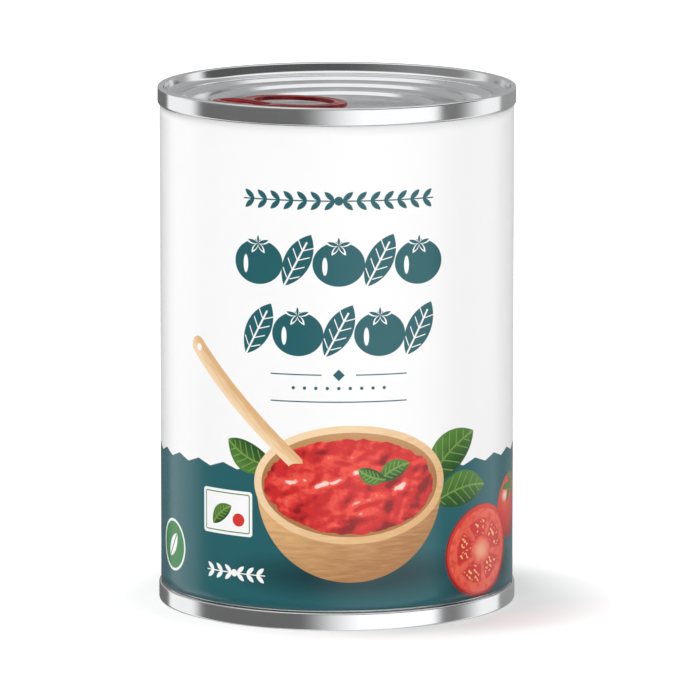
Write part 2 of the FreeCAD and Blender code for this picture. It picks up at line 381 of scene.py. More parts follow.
panel_height = tin_height - PANEL_DEPTH - STEP_DROP
nose_tip = seam_radius - LID_STEP_INSETS[0] - STEP_RUN / 2 - NOSE_GAP
web_end = nose_tip - NOSE_CROWN - WEB_INSET
rivet_place = web_end - SLOT_MARGIN - SLOT_RADIUS
nose_low = panel_height + NOSE_LIFT
web_low = nose_low + WEB_LIFT
web_high = web_low + WEB_THICKNESS

# How the level pull and its rivet go to their place: tilted about the nose's tip, and turned.
to_tip = Matrix.Translation((nose_tip, 0, nose_low))
tilted = to_tip @ Matrix.Rotation(-PULL_TILT, 4, "Y") @ to_tip.inverted()
turned_round = Matrix.Rotation(PULL_AZIMUTH, 4, "Z")
set_on_lid = turned_round @ tilted

rivet = turned("rivet", [
    (0, panel_height, 0),
    (RIVET_SHOULDER_RADIUS, panel_height, 0),
    (RIVET_SHOULDER_RADIUS, web_low, RIVET_FILLET),
    (RIVET_RADIUS, web_low, 0),
    (RIVET_RADIUS, web_high, 0),
    (RIVET_HEAD_RADIUS, web_high, 0),
    (RIVET_HEAD_RADIUS, web_high + RIVET_HEAD_HEIGHT * 0.7, RIVET_HEAD_HEIGHT * 0.35),
    (RIVET_CROWN_RADIUS, web_high + RIVET_HEAD_HEIGHT, RIVET_CROWN_ROUNDING),
    (0, web_high + RIVET_HEAD_HEIGHT, 0),
][::-1], tinplate, RIVET_FACETS)
rivet.data.transform(set_on_lid @ Matrix.Translation((rivet_place, 0, 0)))
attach(rivet, "root")
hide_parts("lid")

boss = turned("rivet_boss", [
    (0, panel_height + BOSS_HEIGHT, 0),
    (BOSS_RADIUS - BOSS_HEIGHT, panel_height + BOSS_HEIGHT, BOSS_EDGE),
    (BOSS_RADIUS, panel_height, RIVET_FILLET),
    (BOSS_RADIUS, panel_height - SHEET / 2, 0),
    (0, panel_height - SHEET / 2, 0),
], tinplate, RIVET_FACETS)
boss.data.transform(turned_round @ Matrix.Translation((rivet_place, 0, 0)))
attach(boss, "root")
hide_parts("lid")


# ------------------------------------------------
# The ring-pull: steel strip blanked out, with its edges curled under into a finger ring and
# a thick nose round a thin web, and coated with a clear red lacquer before it is formed.
# ------------------------------------------------
RING_RADIUS = 11.25 * MM
RING_THICKNESS = 0.9 * MM
CURL_WIDTH = 2.8 * MM
HOLE_TO_NOSE = 0.7 * MM
VALLEY = 0.12 * MM              # between the ring's outer and inner curls
VALLEY_ROUNDING = 0.2 * MM
CREST_RUN = 2.1                 # where a curl's crest ends, and the valley starts, in curls
VALLEY_RUN = 2.8
RING_FACETS = 192
NOSE_REAR_WIDTH = 16.8 * MM
NOSE_FRONT_WIDTH = 15.6 * MM
NOSE_REAR_CORNER = 3.6 * MM
NOSE_FRONT_CORNER = 5.0 * MM
NOSE_TIP_ROUNDING = 24 * MM
NOSE_RISE = 0.3 * MM
NOSE_THICKNESS = 1.75 * MM
NOSE_EDGE = 0.8 * MM
WEB_CORNER = 2.4 * MM
WEB_FLARE = 0.75 * MM           # how far the rolled edge leans out round the web
SLOT_SWEEP = math.radians(210)
SLOT_STEPS = 40
OVERCUT = 1.0 * MM              # how far a cut goes on past the face that it opens
FUSING = 0.12                   # how finely the pull's forms are run together, in mm
SOFTENING = 2

web_start = rivet_place - SLOT_RADIUS - SLOT_MARGIN
nose_rear = web_start - WEB_INSET
ring_hole = RING_RADIUS - CURL_WIDTH
ring_place = nose_rear - HOLE_TO_NOSE - ring_hole
nose_high = nose_low + NOSE_THICKNESS
ring_high = nose_high - NOSE_RISE
ring_low = ring_high - RING_THICKNESS
ring_middle = (ring_low + ring_high) / 2


def loop(half):
    """A closed loop of points from the corners of its one half, from rear to front."""
    return rounded(half + [(a, -b, radius) for a, b, radius in half[-2::-1]])[:-1]


def plate(name, line, levels):
    """A closed plate on a loop of points, through levels of (height, inset), low to high.

    It is drawn in millimetres, in which the pull is cut and joined before it is set in place.
    """
    shell = bmesh.new()
    rows = []
    for height, inset in levels:
        row = []
        for before, here, after in zip(line[-1:] + line[:-1], line, line[1:] + line[:1]):
            way = (after - before).normalized()
            point = Vector((here.x - way.y * inset, here.y + way.x * inset, height))
            row.append(shell.verts.new(point / MM))
        rows.append(row)
    for low, high in zip(rows, rows[1:]):
        for i in range(len(line)):
            j = (i + 1) % len(line)
            shell.faces.new((low[i], low[j], high[j], high[i]))
    shell.faces.new(rows[0][::-1])
    shell.faces.new(rows[-1])
    bmesh.ops.recalc_face_normals(shell, faces=shell.faces)
    mesh = bpy.data.meshes.new(name)
    shell.to_mesh(mesh)
    shell.free()
    return piece(name, mesh)


def quarter(radius, steps=6):
    """Pairs of (rise, inset) up a quarter circle that starts upright."""
    angles = [math.pi / 2 * step / steps for step in range(steps + 1)]
    return [(radius * math.sin(angle), radius * (1 - math.cos(angle))) for angle in angles]


def shaped(made, kind, **settings):
    """Applies one modifier to a piece."""
    change = made.modifiers.new(kind, kind)
    for name, value in settings.items():
        setattr(change, name, value)
    return applied(made, change)


def taken(made, operation, other):
    """Cuts another piece from one, or joins it on, and throws the other away."""
    shaped(made, "BOOLEAN", operation=operation, object=other, solver="EXACT")
    bpy.data.objects.remove(other)


nose_line = loop([
    (nose_rear, 0, 0),
    (nose_rear, -NOSE_REAR_WIDTH / 2, NOSE_REAR_CORNER),
    (nose_tip - NOSE_CROWN, -NOSE_FRONT_WIDTH / 2, NOSE_FRONT_CORNER),
    (nose_tip, 0, NOSE_TIP_ROUNDING),
])
web_line = loop([
    (web_start, 0, 0),
    (web_start, WEB_INSET - NOSE_REAR_WIDTH / 2, WEB_CORNER),
    (web_end, WEB_INSET - NOSE_FRONT_WIDTH / 2, WEB_CORNER),
    (web_end, 0, 0),
])
roll = quarter(NOSE_EDGE)
flare = quarter(WEB_FLARE)
pull = plate("ring_pull", nose_line,
             [(nose_low + NOSE_EDGE - rise, inset) for rise, inset in roll[::-1]]
             + [(nose_high - NOSE_EDGE + rise, inset) for rise, inset in roll])
web_top = plate("web_top", web_line,
                [(web_high, 0)]
                + [(nose_high - WEB_FLARE + rise, -inset) for rise, inset in flare]
                + [(nose_high + OVERCUT, -WEB_FLARE)])
taken(pull, "DIFFERENCE", web_top)
taken(pull, "DIFFERENCE", plate("web_foot", web_line, [(nose_low - OVERCUT, 0), (web_low, 0)]))

slot = []
for step in range(SLOT_STEPS + 1):
    angle = math.pi + SLOT_SWEEP * (step / SLOT_STEPS - 0.5)
    slot.append(Vector((math.cos(angle), math.sin(angle))))
middle = Vector((rivet_place, 0))
slot_line = [middle + way * SLOT_RADIUS for way in slot]
slot_line += [middle + way * (SLOT_RADIUS - SLOT_WIDTH) for way in slot[::-1]]
through_web = [(web_low - OVERCUT, 0), (web_high + OVERCUT, 0)]
taken(pull, "DIFFERENCE", plate("tongue_slot", slot_line, through_web))

curl = RING_THICKNESS / 2
ring = turned("finger_ring", [
    (ring_hole, ring_middle, 0),
    (ring_hole, ring_high, curl / 2),
    (ring_hole + CREST_RUN * curl, ring_high, VALLEY_ROUNDING),
    (ring_hole + VALLEY_RUN * curl, ring_high - VALLEY, VALLEY_ROUNDING),
    (RING_RADIUS - VALLEY_RUN * curl, ring_high - VALLEY, VALLEY_ROUNDING),
    (RING_RADIUS - CREST_RUN * curl, ring_high, VALLEY_ROUNDING),
    (RING_RADIUS, ring_high, curl / 2),
    (RING_RADIUS, ring_low, curl / 2),
    (ring_hole, ring_low, curl / 2),
    (ring_hole, ring_middle, 0),
], tinplate, RING_FACETS)
ring.data.transform(Matrix.Scale(1 / MM, 4) @ Matrix.Translation((ring_place, 0, 0)))
under_nose = loop([
    (web_start - NOSE_EDGE, 0, 0),
    (web_start - NOSE_EDGE, WEB_INSET - NOSE_EDGE - NOSE_REAR_WIDTH / 2, WEB_CORNER),
    (web_end, WEB_INSET - NOSE_EDGE - NOSE_FRONT_WIDTH / 2, WEB_CORNER),
    (web_end, 0, 0),
])
through_nose = [(nose_low - OVERCUT, 0), (nose_high + OVERCUT, 0)]
taken(ring, "DIFFERENCE", plate("ring_trim", under_nose, through_nose))
taken(pull, "UNION", ring)

shaped(pull, "REMESH", mode="VOXEL", voxel_size=FUSING, use_smooth_shade=True)
shaped(pull, "SMOOTH", factor=0.5, iterations=SOFTENING)
pull.data.transform(Matrix.Scale(MM, 4))
pull.data.transform(set_on_lid)
pull.data.name = "ring_pull"

LACQUER_DEEP = (0.26, 0.010, 0.013, 1)
LACQUER_THIN = (0.36, 0.017, 0.021, 1)
LACQUER_EDGE = (1.0, 0.17, 0.18, 1)     # it stays red where it is seen at a low angle
lacquer, tree, red = new_material("clear_red_lacquer")
red.inputs["Metallic"].default_value = 1
red.inputs["Specular Tint"].default_value = LACQUER_EDGE
red.inputs["Coat Weight"].default_value = 0.6
red.inputs["Coat Roughness"].default_value = 0.06
clouds = grained(tree, red, smooth=0.16, rough=0.26, relief=0.1)
feed(tree, red.inputs["Base Color"], mixed(tree, clouds, LACQUER_DEEP, LACQUER_THIN))
pull.data.materials.clear()
pull.data.materials.append(lacquer)
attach(pull, "root")
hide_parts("pull")


# ------------------------------------------------
# The label: one strip of coated paper, printed flat, wrapped once round the wall and glued
# down along a lap at the back. Its print has no words: a teal foot with a zigzag edge, a
# stamped pattern of tomatoes and leaves, and a picture of a wooden bowl of tomato sauce.
# ------------------------------------------------
PAPER = 0.15 * MM
PAPER_GAP = 0.001 * MM              # points of the paper nearer than this are one point
LAP = 9.0 * MM
LAP_AZIMUTH = math.radians(202)     # the lap's middle, from the front towards the right
LAP_RISE = 1.2 * MM                 # the length over which the outer end climbs onto the lap
LABEL_COLUMNS = 320
LABEL_ROWS = 48
LABEL_FOOT_GAP = 0.5 * MM           # between the paper and the seam under it
label_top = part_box("label")[1].z
label_radius = wall_radius + PAPER
label_foot = SEAM_HEIGHT + LABEL_FOOT_GAP


class Field:
    """A number that changes over a shape or a print; printed lengths are in millimetres.

    Python's own signs reckon with fields: each adds a math node to the tree.
    """

    def __init__(self, tree, socket):
        self.tree = tree
        self.socket = socket

    def reckon(self, operation, *others, clamp=False):
        values = [other.socket if isinstance(other, Field) else other for other in (self, *others)]
        return Field(self.tree, reckoned(self.tree, operation, *values, clamp=clamp))

    def __add__(self, other):
        return self.reckon("ADD", other)

    def __sub__(self, other):
        return self.reckon("SUBTRACT", other)

    def __rsub__(self, other):
        return self.reckon("MULTIPLY_ADD", -1.0, other)

    def __mul__(self, other):
        return self.reckon("MULTIPLY", other)

    def __truediv__(self, other):
        return self.reckon("DIVIDE", other)

    def __abs__(self):
        return self.reckon("ABSOLUTE")

    def least(self, other):
        return self.reckon("MINIMUM", other)

    def most(self, other):
        return self.reckon("MAXIMUM", other)

    def clamped(self):
        """Held between 0 and 1."""
        return self.reckon("MULTIPLY", 1.0, clamp=True)

    def folded(self, pitch):
        """Repeats every pitch, from -pitch/2 to pitch/2."""
        return self.reckon("WRAP", pitch / 2, -pitch / 2)

    def zigzag(self, pitch):
        """Rises and falls between 0 and 1, once in each pitch."""
        return self.reckon("PINGPONG", pitch / 2) / (pitch / 2)

    def ramp(self, start, stop):
        """0 at start and 1 at stop, with a smooth rise between."""
        return Field(self.tree, ranged(self.tree, self.socket, (start, stop), soft=True))


def wrapping_tree():
    """Geometry nodes that bend a flat strip round the wall and give it its thickness."""
    numbers = ("Start", "Length", "Low", "Height", "Radius", "Thickness", "Lap", "Lap Rise")
    inputs = {name: "Float" for name in numbers}
    inputs.update({"Columns": "Int", "Rows": "Int", "Finish": "Material"})
    tree, given, result = new_group("wrapped_label", "GeometryNodeTree", inputs, {"Label": "Geometry"})
    start, length, low, height, radius, thickness, lap, lap_rise = (
        Field(tree, given[name]) for name in numbers)
    strip = add(tree, "GeometryNodeMeshGrid", Size_X=length.socket, Size_Y=height.socket,
                Vertices_X=given["Columns"], Vertices_Y=given["Rows"])
    flat = add(tree, "ShaderNodeSeparateXYZ", Vector=add(tree, "GeometryNodeInputPosition").outputs[0])
    from_start = Field(tree, flat.outputs["X"]) + length * 0.5
    along = from_start + start
    upward = Field(tree, flat.outputs["Y"]) + height * 0.5 + low
    printed = add(tree, "ShaderNodeCombineXYZ", X=along.socket, Y=upward.socket)
    kept = add(tree, "GeometryNodeStoreNamedAttribute", {"data_type": "FLOAT_VECTOR", "domain": "POINT"},
               Geometry=strip.outputs["Mesh"], Name="print", Value=printed.outputs[0])
    before_lap = length - from_start - lap
    climb = ranged(tree, before_lap.socket, (lap_rise.socket, 0.0), (0.0, thickness.socket), soft=True)
    reach = radius + Field(tree, climb)
    angle = along / (radius + thickness)
    bent = add(tree, "ShaderNodeCombineXYZ", X=(reach * angle.reckon("SINE")).socket,
               Y=(reach * angle.reckon("COSINE") * -1.0).socket, Z=upward.socket)
    wrapped = add(tree, "GeometryNodeSetPosition", Geometry=kept.outputs["Geometry"],
                  Position=bent.outputs[0])
    inner = add(tree, "GeometryNodeFlipFaces", Mesh=wrapped.outputs["Geometry"])
    outer = add(tree, "GeometryNodeExtrudeMesh", {"mode": "FACES"}, Mesh=wrapped.outputs["Geometry"],
                Offset_Scale=thickness.socket, Individual=False)
    both = add(tree, "GeometryNodeJoinGeometry")
    for side in (inner, outer):
        tree.links.new(side.outputs["Mesh"], both.inputs["Geometry"])
    feed(tree, result["Label"], finished(tree, both.outputs["Geometry"], PAPER_GAP, given["Finish"]))
    return tree


def far(x, y):
    """The distance of (x, y) from the middle of a motif."""
    joined = add(x.tree, "ShaderNodeCombineXYZ", X=x.socket, Y=y.socket)
    length = add(x.tree, "ShaderNodeVectorMath", {"operation": "LENGTH"}, Vector=joined.outputs[0])
    return Field(x.tree, length.outputs["Value"])


def oval(x, y, a, b):
    """How far outside an oval of half axes a and b a point lies, roughly; less than 0 is inside."""
    return (far(x / a, y / b) - 1.0) * min(a, b)


def bar(x, y, a, b, rounding):
    """How far outside a rounded bar of half sizes a and b a point lies."""
    across = abs(x) - (a - rounding)
    upward = abs(y) - (b - rounding)
    return far(across.most(0.0), upward.most(0.0)) + across.most(upward).least(0.0) - rounding


def leaf(x, y, length, width):
    """How far outside a pointed leaf along x a point lies: what two equal discs share."""
    radius = (length ** 2 + width ** 2) / (4 * width)
    return far(x, abs(y) + (radius - width / 2)) - radius


def turned_by(x, y, degrees):
    """Fields x and y in axes turned by so many degrees."""
    angle = math.radians(degrees)
    return (x * math.cos(angle) + y * math.sin(angle),
            y * math.cos(angle) - x * math.sin(angle))


def spoke(x, y):
    """The angle between a point and the nearest of five spokes round a motif's middle."""
    return abs(x.reckon("ARCTAN2", y).folded(2 * math.pi / 5))


def within(outside, edge):
    """1 inside a shape and 0 outside it, with a soft edge of this width."""
    return outside.reckon("MULTIPLY_ADD", -1 / edge, 0.5, clamp=True)


def shown_as(red, green, blue):
    """The colour that shows as these values, of 255."""
    def linear(value):
        value /= 255
        return value / 12.92 if value <= 0.04045 else ((value + 0.055) / 1.055) ** 2.4
    return linear(red), linear(green), linear(blue), 1.0


def motif_place_group():
    """Shader nodes that turn a place on the print into x and y in a motif's own axes."""
    tree, given, result = new_group(
        "motif_place", "ShaderNodeTree",
        {"Place": "Vector", "Centre": "Vector", "Turn": "Float"}, {"X": "Float", "Y": "Float"},
    )
    offset = add(tree, "ShaderNodeVectorMath", {"operation": "SUBTRACT"}, Vector=given["Place"])
    feed(tree, offset.inputs[1], given["Centre"])
    settled = add(tree, "ShaderNodeVectorRotate", {"rotation_type": "Z_AXIS", "invert": True},
                  Vector=offset.outputs[0], Angle=given["Turn"])
    parts = add(tree, "ShaderNodeSeparateXYZ", Vector=settled.outputs[0])
    feed(tree, result["X"], parts.outputs["X"])
    feed(tree, result["Y"], parts.outputs["Y"])
    return tree


MOTIF_PLACE = motif_place_group()
WHITE = shown_as(247, 247, 247)
TEAL = shown_as(30, 95, 102)
TEAL_SHADE = shown_as(14, 60, 66)


class Print:
    """The print of one area of the label: its nodes, its places, and the colours laid so far."""

    EDGE = 0.07             # an edge of ink fades over this width, in millimetres
    PATCHES = 0.35          # the gloss changes in soft patches, and along the paper's fibres
    FIBRES = 4.0
    GLOSS = (0.22, 0.27)

    def __init__(self, name):
        self.material, self.tree, self.paper = new_material(name)
        stored = add(self.tree, "ShaderNodeAttribute", {"attribute_name": "print"})
        scaled = add(self.tree, "ShaderNodeVectorMath", {"operation": "SCALE"},
                     Vector=stored.outputs["Vector"], Scale=1 / MM)
        self.place = scaled.outputs[0]
        self.colour = WHITE

    def at(self, across=0.0, height=0.0, turn=0.0):
        """Fields x and y of a motif set at a place, turned by so many degrees."""
        node = add(self.tree, "ShaderNodeGroup", {"node_tree": MOTIF_PLACE}, Place=self.place,
                   Centre=(across, height, 0), Turn=math.radians(turn))
        return Field(self.tree, node.outputs["X"]), Field(self.tree, node.outputs["Y"])

    def lay(self, colour, cover):
        """Lays a colour, or a socket of colours, over the print where cover is 1."""
        self.colour = mixed(self.tree, cover.socket, self.colour, colour)

    def ink(self, colour, outside):
        """Lays a colour inside a shape, told by how far outside it a point lies."""
        self.lay(colour, within(outside, self.EDGE))

    def blend(self, low, high, factor):
        """A socket of colours between low and high."""
        return mixed(self.tree, factor.socket, low, high)

    def noise(self, x, y, scale, detail=2.0, distortion=0.0):
        """A field of soft noise, about 0.5, with so many lumps to a millimetre."""
        joined = add(self.tree, "ShaderNodeCombineXYZ", X=x.socket, Y=y.socket)
        node = add(self.tree, "ShaderNodeTexNoise", Vector=joined.outputs[0], Scale=scale,
                   Detail=detail, Distortion=distortion)
        return Field(self.tree, node.outputs[0])

    def finish(self):
        """Joins the colours to the paper's finish: a gloss coat, duller where fibres show."""
        x, y = self.at()
        mottle = self.noise(x, y, self.PATCHES) + self.noise(x * 0.5, y, self.FIBRES) * 0.6
        gloss = ranged(self.tree, mottle.socket, (0.5, 1.1), self.GLOSS)
        feed(self.tree, self.paper.inputs["Base Color"], self.colour)
        feed(self.tree, self.paper.inputs["Roughness"], gloss)
        self.paper.inputs["IOR"].default_value = 1.5
        return self.material


TEAL_FIELD_TOP = 33.2
ZIGZAG_PITCH = 2 * math.pi * label_radius / MM / 32
ZIGZAG_RISE = 1.2


def field(name):
    """The ground of the whole label: white above, and teal with a zigzag edge below."""
    sheet = Print(name)
    x, y = sheet.at()
    sheet.ink(TEAL, y - TEAL_FIELD_TOP - x.zigzag(ZIGZAG_PITCH) * ZIGZAG_RISE)
    return sheet


def sprig(sheet, across, height, pairs, size, colour):
    """A thin stem with so many pairs of leaves to each side of a berry."""
    pitch = 2.9 * size
    leaf_length = 2.9 * size
    leaf_width = 1.15 * size
    berry = 0.95 * size
    stem = 0.14 * size
    x, y = sheet.at(across, height)
    reach = (pairs + 0.16) * pitch
    leaf_x, leaf_y = turned_by((abs(x) - 1.9 * size).folded(pitch), abs(y) - 0.95 * size, 42)
    row = bar(x, y, reach, 3 * size, 0.1).most(0.45 * size - abs(x))
    sheet.ink(colour, bar(x, y, reach, stem, 0.1 * size))
    sheet.ink(colour, leaf(leaf_x, leaf_y, leaf_length, leaf_width).most(row))
    sheet.ink(colour, oval(x, y, berry, berry))


plain = field("label_ground").finish()

# The stamped pattern: two rows of tomatoes and leaves, set like bricks.
PATTERN_ACROSS = 0.4
STAMP_MIDDLE = 71.0
STAMP_PITCH = 17.4
ROW_PITCH = 14.8
TOMATO_REACH = 23.3         # how far to each side the rows' tomatoes and leaves go
LEAF_REACH = 17.3
STAR_REACH = 3.4
STAR_SPREAD = 4.6
VEIN_PITCH = 2.3
front = field("label_pattern")
x, y = front.at(PATTERN_ACROSS, STAMP_MIDDLE)
lower_row = y.reckon("LESS_THAN", 0.0)
in_row = (y + ROW_PITCH / 2).folded(ROW_PITCH)
shifted = x + lower_row * (STAMP_PITCH / 2)
row_reach = abs(y) - ROW_PITCH
tomato_reach = (abs(x) - TOMATO_REACH + lower_row * 6.0).most(row_reach)
leaf_reach = (abs(x) - LEAF_REACH - lower_row * 5.8).most(row_reach)

tomato_x = shifted.folded(STAMP_PITCH)
front.ink(TEAL, oval(tomato_x, in_row + 0.7, 5.5, 4.7).most(tomato_reach))
above_star = in_row - 3.2
star = far(tomato_x, above_star * 1.5) + spoke(tomato_x, above_star) * STAR_SPREAD - STAR_REACH
front.ink(WHITE, star.most(tomato_reach))
front.ink(TEAL, (star + 0.75).most(tomato_reach))
front.ink(WHITE, oval(tomato_x + 2.9, in_row + 1.2, 0.55, 1.9).most(tomato_reach))

along, beside = turned_by((shifted + STAMP_PITCH / 2).folded(STAMP_PITCH), in_row, 62)
front.ink(TEAL, leaf(along, beside, 12.4, 5.6).most(leaf_reach))
rib = bar(along + 1.2, beside, 5.6, 0.2, 0.1)
veins = abs((along - abs(beside) * 0.9).folded(VEIN_PITCH)) - 0.14
side_veins = veins.most(abs(along) - 4.3).most(abs(beside) - 2.0)
front.ink(WHITE, rib.least(side_veins).most(leaf_reach))

sprig(front, PATTERN_ACROSS, 91.0, pairs=7, size=1.0, colour=TEAL)

# Two thin rules, with a lozenge in the upper one and a row of dots between them.
RULE_REACH = 14.6
RULE_HALF = 0.13
x, y = front.at(PATTERN_ACROSS, 54.3)
front.ink(TEAL, bar(x, y, RULE_REACH, RULE_HALF, 0.1).most(3.6 - abs(x)))
front.ink(TEAL, abs(x) + abs(y) - 1.25)
x, y = front.at(PATTERN_ACROSS, 51.5)
front.ink(TEAL, oval(x.folded(2.4), y, 0.36, 0.36).most(abs(x) - 11.0))
x, y = front.at(PATTERN_ACROSS, 48.6)
front.ink(TEAL, bar(x, y, RULE_REACH, RULE_HALF, 0.1))
pattern = front.finish()

# The picture: the bowl of sauce with its spoon, basil, and tomatoes.
WOOD_LIGHT = shown_as(243, 213, 172)
WOOD = shown_as(222, 176, 122)
WOOD_DARK = shown_as(170, 118, 70)
SAUCE_DEEP = shown_as(140, 16, 20)
SAUCE = shown_as(206, 36, 36)
SAUCE_BRIGHT = shown_as(236, 78, 64)
SHINE = shown_as(255, 222, 210)
LEAF_DEEP = shown_as(40, 84, 36)
LEAF_GREEN = shown_as(84, 132, 52)
LEAF_BRIGHT = shown_as(150, 184, 88)
TOMATO_DEEP = shown_as(150, 22, 20)
TOMATO = shown_as(214, 52, 42)
FLESH = shown_as(236, 98, 72)
CORE = shown_as(246, 176, 140)
SEED = shown_as(244, 204, 128)
SEAL_GREEN = shown_as(34, 130, 62)
BOWL_ACROSS = 3.0
BOWL_HEIGHT = 31.0
BOWL_RIM = (21.0, 12.6)         # half sizes of the bowl's ovals
BOWL_WELL = (19.3, 11.1)
BOWL_BODY = (20.4, 19.8)
SAUCE_POOL = (18.4, 10.1)

pic = field("label_picture")
x, y = pic.at(BOWL_ACROSS + 1.5, 11.5)
pic.lay(TEAL_SHADE, within(oval(x, y, 21, 4.2), 4.0))


def basil(sheet, across, height, turn, length, width):
    """A basil leaf, lighter on one side of its rib, with curved side veins."""
    x, y = sheet.at(across, height, turn)
    bend = y + x * x * (0.35 / length)
    shape = leaf(x, bend, length, width)
    tone = (bend / width + x / (3 * length)).ramp(-0.5, 0.6)
    grain = sheet.noise(x, y, 0.5)
    sheet.ink(sheet.blend(LEAF_DEEP, LEAF_GREEN, tone + (grain - 0.5) * 0.8), shape)
    side_veins = abs((x - abs(bend) * 0.8).folded(length / 7)) - 0.1
    rib = bar(x, bend, length / 2, 0.14, 0.1)
    veins = within(side_veins.most(shape + 0.5).least(rib), 0.3)
    sheet.lay(LEAF_BRIGHT, veins * within(shape, 0.1) * 0.75)


basil(pic, 25.5, 36.5, turn=38, length=16, width=8.5)
basil(pic, 29.0, 28.5, turn=8, length=15, width=7.5)
basil(pic, -19.5, 36.0, turn=155, length=12, width=6.4)

x, y = pic.at(BOWL_ACROSS, BOWL_HEIGHT)
grain = pic.noise(x * 0.22, y * 1.6, 0.9, 3.0, 0.4) - 0.5
tone = (y * 0.045 - x * 0.02 + 0.95 + grain * 1.1).clamped()
pic.ink(pic.blend(WOOD_DARK, WOOD, tone), oval(x, y + 1.0, *BOWL_BODY).most(y))
tone = (y * 0.03 - x * 0.02 + 0.55 + grain).clamped()
pic.ink(pic.blend(WOOD, WOOD_LIGHT, tone), oval(x, y, *BOWL_RIM))
pic.ink(pic.blend(WOOD_DARK, WOOD, (y * 0.05 - 0.1).clamped()), oval(x, y, *BOWL_WELL))

LIGHT_X = 0.7               # the sauce is lit from its upper left
LIGHT_Y = -0.8


def surface(x, y):
    """The height of the sauce: soft heaps, with small bits of tomato in them."""
    return pic.noise(x, y * 1.35, 0.15, 1.5, 0.5) * 5.0 + pic.noise(x, y * 1.3, 0.62, 2.0, 0.3) * 0.75


wobble = (pic.noise(x, y, 0.3) - 0.5) * 1.8
slope = surface(x, y) - surface(x + LIGHT_X, y + LIGHT_Y)
mound = oval(x + 2.0, y - 1.5, 17.0, 9.5).ramp(3.0, -8.0)
tone = slope * 1.25 + mound * 0.5 - 0.05
sauce = pic.blend(SAUCE_DEEP, SAUCE, tone.ramp(-0.75, 0.1))
sauce = pic.blend(sauce, SAUCE_BRIGHT, tone.ramp(0.1, 0.75))
sauce = pic.blend(sauce, SHINE, tone.ramp(0.92, 1.25) * 0.85)
pic.ink(sauce, oval(x, y + 0.4, *SAUCE_POOL) + wobble)

# The spoon's handle leans out of the bowl to the upper left, with sauce over its foot.
HANDLE_TURN = 137
HANDLE_HALF = (18.5, 1.75)
x, y = pic.at(-21.0, 47.0, HANDLE_TURN)
grain = pic.noise(x * 0.2, y * 1.8, 1.1, 3.0, 0.3) - 0.5
tone = (y * 0.45 + 0.5 + grain * 1.6).clamped()
pic.ink(pic.blend(WOOD, WOOD_LIGHT, tone), bar(x, y, *HANDLE_HALF, 1.7) + x * -0.012)
pic.ink(WHITE, oval(x - 16.3, y, 0.75, 0.75))
x, y = pic.at(-7.4, 33.4)
pic.ink(sauce, oval(x, y, 3.4, 2.2) + wobble * 0.6)
basil(pic, 12.0, 34.0, turn=28, length=7.6, width=4.0)
basil(pic, 7.2, 32.6, turn=158, length=6.4, width=3.4)


def cherry(sheet, across, height, radius, turn):
    """A small round tomato, lit from the upper left, with its green star."""
    x, y = sheet.at(across, height)
    lit = far(x + radius * 0.35, y - radius * 0.4) / radius
    colour = sheet.blend(FLESH, TOMATO, lit.ramp(0.1, 0.75))
    colour = sheet.blend(colour, TOMATO_DEEP, lit.ramp(0.75, 1.45))
    sheet.ink(colour, oval(x, y, radius * 1.04, radius * 0.97))
    gleam = oval(x + radius * 0.42, y - radius * 0.36, radius * 0.2, radius * 0.13)
    sheet.lay(SHINE, within(gleam, radius * 0.16) * 0.9)
    x, y = sheet.at(across + radius * 0.12, height + radius * 0.62, turn)
    y = y * 1.6
    star = far(x, y) + spoke(x, y) * radius * 0.95 - radius * 0.78
    sheet.ink(LEAF_DEEP, star - 0.15)
    sheet.ink(LEAF_GREEN, star + 0.18)


cherry(pic, 50.0, 21.5, radius=7.2, turn=12)

# The halved tomato: its skin, its flesh, and five pockets of seeds round its core.
FLESH_HALF = (9.9, 8.8)
x, y = pic.at(35.5, 14.2, turn=8)
pic.lay(TEAL_SHADE, within(oval(x - 0.8, y + 6.5, 11.5, 4.0), 3.0))
pic.ink(TOMATO_DEEP, oval(x, y, 11.0, 9.9))
pic.ink(TOMATO, oval(x - 0.1, y - 0.25, 10.6, 9.5))
flesh = pic.blend(TOMATO, FLESH, pic.noise(x, y, 0.6, 3.0).ramp(0.25, 0.6))
pic.ink(flesh, oval(x, y, *FLESH_HALF))
out = far(x / FLESH_HALF[0], y / FLESH_HALF[1])
pocket = (out - 0.78).most(0.34 - out).most((spoke(x, y) - 0.5) * out)
pic.lay(SAUCE, within(pocket, 0.05))
jostle = pic.noise(x, y, 0.45, 1.0) * 5.0
pips = oval((x + jostle).folded(1.9), (y + x * 0.35 - jostle).folded(1.5), 0.42, 0.26)
pic.lay(SEED, within(pips, 0.12) * within(pocket + 0.04, 0.05))
pic.lay(CORE, out.ramp(0.34, 0.05) * 0.8)

# The small signs to the left: a plain panel with a leaf, a plain round seal, and a sprig.
SIGN_PLACE = (-25.0, 23.8)
SEAL_PLACE = (-44.0, 14.0)
x, y = pic.at(*SIGN_PLACE)
pic.ink(WHITE, bar(x, y, 6.5, 4.8, 0.7))
pic.ink(LEAF_GREEN, abs(bar(x, y, 5.8, 4.1, 0.4)) - 0.12)
basil(pic, -26.6, 23.6, turn=40, length=6.6, width=3.4)
x, y = pic.at(-21.9, 22.4)
pic.ink(TOMATO, oval(x, y, 1.5, 1.4))
x, y = pic.at(*SEAL_PLACE)
pic.ink(WHITE, oval(x, y, 5.6, 5.6))
pic.ink(SEAL_GREEN, oval(x, y, 5.05, 5.05))
x, y = pic.at(*SEAL_PLACE, turn=55)
pic.ink(WHITE, leaf(x, y, 6.6, 3.0).most(0.16 - abs(y)))
sprig(pic, -23.0, 11.0, pairs=3, size=0.82, colour=WHITE)
picture = pic.finish()

